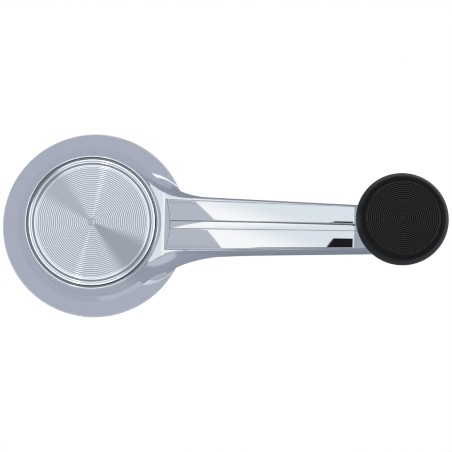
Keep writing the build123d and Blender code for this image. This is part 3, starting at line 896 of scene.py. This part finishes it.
def disc_material():
    """Bright turned aluminium: brightest on the rolled edge; painted shade greys the channel and the edge
    outside the bead, in the gap to the rim.
    """
    made, g, shader = new_material("turned_aluminium_disc")
    grain = g.noise(g.place(), 300, 3)
    patch = g.noise(g.place(), 45, 2)
    at = g.split(g.place())
    radius = g.length(at[0], at[1])
    on_edge = g.step(radius, (LIP_R - LIP_HALF - 0.1) * MM, (LIP_R - LIP_HALF) * MM)
    channel_in, channel_out = (CHANNEL_R - CHANNEL_HALF) * MM, (CHANNEL_R + CHANNEL_HALF) * MM
    channel = g.band(radius, channel_in, channel_out, 0.1 * MM)
    bead_foot = BEAD_R + BEAD_HALF
    outside = g.step(radius, (bead_foot - 0.05) * MM, (bead_foot + 0.05) * MM)
    tint = g.mix(g.ramp(patch, 0.2, 0.8), *TURNED)
    tint = g.mix(on_edge, tint, TURNED_EDGE)
    # painted shade in the channel and in the gap between the bead and the rim
    tint = g.mix(channel, tint, CHANNEL_PAINTED_SHADE)
    tint = g.mix(outside, tint, GAP_PAINTED_SHADE)
    g.put(shader.inputs["Base Color"], tint)
    shader.inputs["Metallic"].default_value = 1
    turned = g.ramp(grain, 0.08, 0.13)
    g.put(shader.inputs["Roughness"], g.math("SUBTRACT", turned, g.math("MULTIPLY", on_edge, 0.04)))
    return made


def steel_material():
    """Zinc-plated steel of the hidden hardware."""
    made, g, shader = new_material("zinc_plated_steel")
    cloud = g.noise(g.place(), 120, 4)
    grain = g.noise(g.place((1, 1, 6)), 1400, 2)
    g.put(shader.inputs["Base Color"], g.mix(cloud, *ZINC))
    shader.inputs["Metallic"].default_value = 1
    g.put(shader.inputs["Roughness"], g.ramp(grain, 0.24, 0.42))
    bump(g, shader, grain, 0.00001, 0.4)
    return made


def foam_material():
    """Closed-cell adhesive foam."""
    made, g, shader = new_material("foam_pad")
    cells = g.tree.nodes.new("ShaderNodeTexVoronoi")
    g.put(cells.inputs["Vector"], g.place())
    cells.inputs["Scale"].default_value = 1600
    g.put(shader.inputs["Base Color"], g.mix(cells.outputs["Distance"], *FOAM))
    shader.inputs["Roughness"].default_value = 0.95
    bump(g, shader, cells.outputs["Distance"], 0.00008, 0.8)
    return made


def nylon_material():
    """Natural moulded nylon of the washers."""
    made, g, shader = new_material("natural_nylon")
    cloud = g.noise(g.place(), 70, 3)
    grain = g.noise(g.place(), 1100, 2)
    g.put(shader.inputs["Base Color"], g.mix(cloud, *NYLON))
    g.put(shader.inputs["Roughness"], g.ramp(grain, 0.38, 0.55))
    shader.inputs["Subsurface Weight"].default_value = 0.1
    shader.inputs["Subsurface Scale"].default_value = 0.001
    return made


def brass_material():
    """Turned brass of the knob's sleeve."""
    made, g, shader = new_material("turned_brass")
    lines = g.noise(g.place((1, 1, 40)), 300, 3)
    g.put(shader.inputs["Base Color"], g.mix(lines, *BRASS))
    shader.inputs["Metallic"].default_value = 1
    g.put(shader.inputs["Roughness"], g.ramp(lines, 0.22, 0.4))
    return made


def plastic_material(name, tone, shine, matte_below):
    """Black moulded plastic, matte in the grooves below a height."""
    made, g, shader = new_material(name)
    cloud = g.noise(g.place(), 80, 3)
    grain = g.noise(g.place(), 1300, 3)
    at = g.split(g.place())
    raised = g.step(at[2], (matte_below - 0.06) * MM, (matte_below + 0.02) * MM)
    dark, light = (tone, tone, tone, 1), (tone * 1.6, tone * 1.6, tone * 1.6, 1)
    g.put(shader.inputs["Base Color"], g.mix(cloud, dark, light))
    g.put(shader.inputs["Roughness"], g.ramp(grain, 0.24, 0.34))
    gloss = g.math("MULTIPLY_ADD", raised, shine - GROOVE_SHINE, GROOVE_SHINE)
    g.put(shader.inputs["Specular IOR Level"], gloss)
    shader.inputs["Specular Tint"].default_value = WARM_SHEEN
    bump(g, shader, grain, 0.00001, 0.25)
    return made


# ---------------------------------------------------------------- studio
# painted shadow: floor tones by the hub and along the arm, seen only in the plating's reflections;
# FLOOR_AWAY is the floor's own pale tone
FLOOR_SHADOW_BY_HUB = ((0.68, 0.70, 0.75, 1), (0.72, 0.74, 0.79, 1))
FLOOR_SHADOW_BY_ARM = ((0.54, 0.56, 0.61, 1), (0.57, 0.59, 0.64, 1))
FLOOR_AWAY = (0.92, 0.94, 0.96, 1)
FLOOR_HALF = 2000.0


def floor_material():
    """Pale sweep: white to the lens, but grey in the plating, with a painted shadow that makes it darker
    near the handle and lighter away from it.
    """
    made, g, shader = new_material("pale_sweep")
    cloud = g.noise(g.place(), 6, 2)
    at = g.split(g.place())
    # painted shadow round the handle, lighter by the hub than along the arm
    near = g.mix(g.step(at[0], 0.015, 0.03), g.mix(cloud, *FLOOR_SHADOW_BY_HUB), g.mix(cloud, *FLOOR_SHADOW_BY_ARM))
    along_arm = g.math("MINIMUM", g.either(at[0], 0.0), CRANK_LENGTH * MM)
    from_handle = g.length(g.math("SUBTRACT", at[0], along_arm), at[1])
    away = g.step(from_handle, 0.042, 0.056)
    g.put(shader.inputs["Base Color"], g.mix(away, near, FLOOR_AWAY))
    shader.inputs["Roughness"].default_value = 0.9
    seen = g.tree.nodes.new("ShaderNodeLightPath").outputs["Is Camera Ray"]
    pale = g.node("ShaderNodeEmission", Color=(1, 1, 1, 1), Strength=1.0)
    both = g.tree.nodes.new("ShaderNodeMixShader")
    g.put(both.inputs[0], seen)
    g.tree.links.new(shader.outputs[0], both.inputs[1])
    g.tree.links.new(pale.outputs[0], both.inputs[2])
    g.put(g.tree.nodes["Material Output"].inputs["Surface"], both.outputs[0])
    return made


def make_floor():
    """Pale floor at the trim's level."""
    corners = [(x * FLOOR_HALF, y * FLOOR_HALF, 0) for x, y in ((-1, -1), (1, -1), (1, 1), (-1, 1))]
    floor = new_object("floor", corners, [(0, 1, 2, 3)])
    floor.data.materials.append(floor_material())


GREY_CEILING = (0.42, 0.45, 0.53, 1)
LEVEL_GREY = (0.47, 0.505, 0.57, 1)
RING_LIGHT = (0.98, 1.03, 1.10, 1)
STREAK_LIGHT = (1.4, 1.45, 1.5, 1)
WHITE_CARD = (1.0, 1.0, 1.0, 1)
CARD_FAR = (0.76, 0.82, 0.87, 1)
SIDE_CARD = (0.58, 0.60, 0.68, 1)
SOFT_GREY = (0.60, 0.63, 0.68, 1)
DIM_GREY = (0.27, 0.29, 0.33, 1)
DARK_FLAG = (0.012, 0.012, 0.014, 1)

# the surround, in radians from the direction that a level face at the hub sends to the lens
FLAT_X, FLAT_Y = -0.106, 0.107
LEVEL_SPREAD, LEVEL_SOFT = 0.28, 0.08       # lighter grey straight above
RING_LOW, RING_HIGH, RING_SOFT = 0.80, 0.97, 0.03
CARD_SPREAD, CARD_SOFT = 0.50, 0.04
# compass direction, half width and fade of each part of the ring, in degrees
DIM_PART = (142, 10, 16)
SOFT_PART = (-42, 6, 18)
STREAKS = ((78, 1, 5), (258, 1, 5))
# the card and the flags, by the x and y of a unit direction
CARD_EDGE_X, CARD_EDGE_LEAN, CARD_EDGE_SOFT = -0.0395, 0.034, 0.0008
CARD_DIMS_FROM, CARD_DIMS_TO, CARD_DIMS_LEAN = -0.023, 0.057, 0.12
SIDE_CARD_X, SIDE_CARD_Y = 0.9, 0.26
FLAG_X, FLAG_LEAN, FLAG_Y = (0.067, 0.12), -0.02, (-0.40, 0.035)
TAIL_SLOPE, TAIL_OFFSET, TAIL_X, TAIL_Y = 0.62, -0.238, (0.005, 0.105), -0.40


def make_world():
    """Soft studio: a grey-blue tent, a white card over the arm, a ring of light and a few dark flags."""
    world = bpy.data.worlds.new("studio")
    world.use_nodes = True
    bpy.context.scene.world = world
    g = Graph(world.node_tree)
    x, y, z = g.split(g.tree.nodes.new("ShaderNodeTexCoord").outputs["Generated"])
    steepness = g.math("ARCCOSINE", z)
    stretch = g.math("DIVIDE", steepness, g.either(g.math("SINE", steepness), 0.001))
    off_x = g.math("SUBTRACT", g.math("MULTIPLY", x, stretch), FLAT_X)
    off_y = g.math("SUBTRACT", g.math("MULTIPLY", y, stretch), FLAT_Y)
    spread = g.length(off_x, off_y)
    azimuth = g.math("ARCTAN2", off_y, off_x)

    def part_of_ring(centre, half_width, soft):
        """1 in the ring within half_width degrees of a compass direction, fading over soft degrees."""
        turned = g.math("SUBTRACT", azimuth, radians(centre))
        wrapped = g.math("ARCTAN2", g.math("SINE", turned), g.math("COSINE", turned))
        near = g.step(g.math("ABSOLUTE", wrapped), radians(half_width + soft), radians(half_width))
        return g.both(ring, near)

    ring = g.band(spread, RING_LOW, RING_HIGH, RING_SOFT)
    level = g.step(spread, LEVEL_SPREAD + LEVEL_SOFT, LEVEL_SPREAD)
    colour = g.mix(level, GREY_CEILING, LEVEL_GREY)
    colour = g.mix(ring, colour, RING_LIGHT)
    colour = g.mix(part_of_ring(*DIM_PART), colour, DIM_GREY)
    colour = g.mix(part_of_ring(*SOFT_PART), colour, SOFT_GREY)
    for streak in STREAKS:
        colour = g.mix(part_of_ring(*streak), colour, STREAK_LIGHT)

    # white card over the arm, with a sharp edge across the bars, dimmer towards the knob
    past_edge = g.math("ADD", g.math("SUBTRACT", x, CARD_EDGE_X), g.math("MULTIPLY", y, CARD_EDGE_LEAN))
    toward_knob = g.math("MULTIPLY_ADD", y, CARD_DIMS_LEAN, x)
    card_colour = g.mix(g.step(toward_knob, CARD_DIMS_FROM, CARD_DIMS_TO), WHITE_CARD, CARD_FAR)
    card = g.both(g.step(past_edge, -CARD_EDGE_SOFT, CARD_EDGE_SOFT),
                  g.step(spread, CARD_SPREAD + CARD_SOFT, CARD_SPREAD))
    colour = g.mix(card, colour, card_colour)
    side_card = g.both(g.step(g.math("ABSOLUTE", y), SIDE_CARD_Y + 0.1, SIDE_CARD_Y),
                       g.step(x, SIDE_CARD_X - 0.05, SIDE_CARD_X))
    colour = g.mix(side_card, colour, SIDE_CARD)

    # dark flag that the bars show beside the knob, and its slanting tail
    leaning = g.math("MULTIPLY_ADD", y, FLAG_LEAN, x)
    flag = g.both(g.band(leaning, *FLAG_X, 0.002), g.band(y, *FLAG_Y, 0.005))
    colour = g.mix(flag, colour, DARK_FLAG)
    over_tail = g.math("SUBTRACT", g.math("SUBTRACT", y, g.math("MULTIPLY", x, TAIL_SLOPE)), TAIL_OFFSET)
    tail = g.both(g.step(over_tail, 0.003, -0.003), g.band(x, *TAIL_X, 0.01))
    colour = g.mix(g.both(tail, g.step(y, TAIL_Y - 0.02, TAIL_Y)), colour, DARK_FLAG)
    back = g.tree.nodes["Background"]
    g.put(back.inputs["Color"], colour)
    back.inputs["Strength"].default_value = 1.0


# ---------------------------------------------------------------- camera
TARGET = Vector((48.60, 0.89, 0))
CAMERA_DISTANCE = 578.78
TILT_X = radians(1.032)     # the camera leans this far to +X of straight above
TILT_Y = radians(-6.393)    # and this far to +Y
ROLL = radians(1.230)
LENS = 124.29


def make_camera():
    """Long lens nearly straight above the handle."""
    data = bpy.data.cameras.new("camera")
    data.lens = LENS
    data.sensor_width = 36
    data.clip_start = 0.01
    data.clip_end = 10
    camera = bpy.data.objects.new("camera", data)
    bpy.context.scene.collection.objects.link(camera)
    back = Vector((sin(TILT_X) * cos(TILT_Y), sin(TILT_Y), cos(TILT_X) * cos(TILT_Y)))
    right = (-back).cross(Vector((-sin(ROLL), cos(ROLL), 0))).normalized()
    turn = Matrix((right, right.cross(-back), back)).transposed().to_4x4()
    camera.matrix_world = Matrix.Translation((TARGET + CAMERA_DISTANCE * back) * MM) @ turn
    bpy.context.scene.camera = camera


# ---------------------------------------------------------------- the handle
def dress_kept_nodes(materials):
    """Materials for the CAD nodes that are shown as they are."""
    for node, made in nodes.items():
        if made.hide_render:
            continue
        made.data.materials.clear()
        made.data.materials.append(materials[node])


chrome = chrome_material()
steel = steel_material()
nylon = nylon_material()

handle_casting(chrome)
hub_disc(disc_material())
knob = knob_body(plastic_material("black_knob_plastic", KNOB_TONE, KNOB_SHINE, 0))
cap_plastic = plastic_material("black_cap_plastic", CAP_TONE, CAP_SHINE, CAP_TOP_Z - 0.1)
cap = knob_cap(cap_plastic)
for shown in (knob, cap, nodes["knob_bush"], nodes["knob_spindle"], nodes["thrust_washer"]):
    shown.visible_glossy = False    # kept out of the plating's reflections
dress_kept_nodes({
    "spline_insert": steel, "lock_washer": steel, "retaining_screw": steel, "knob_spindle": steel,
    "spring_washer": steel, "disc_pad": foam_material(), "wear_washer": nylon, "thrust_washer": nylon,
    "knob_bush": brass_material(),
})
make_floor()
make_world()
make_camera()
bpy.context.scene.view_settings.view_transform = "Standard"
bpy.context.scene.cycles.filter_width = 1.2
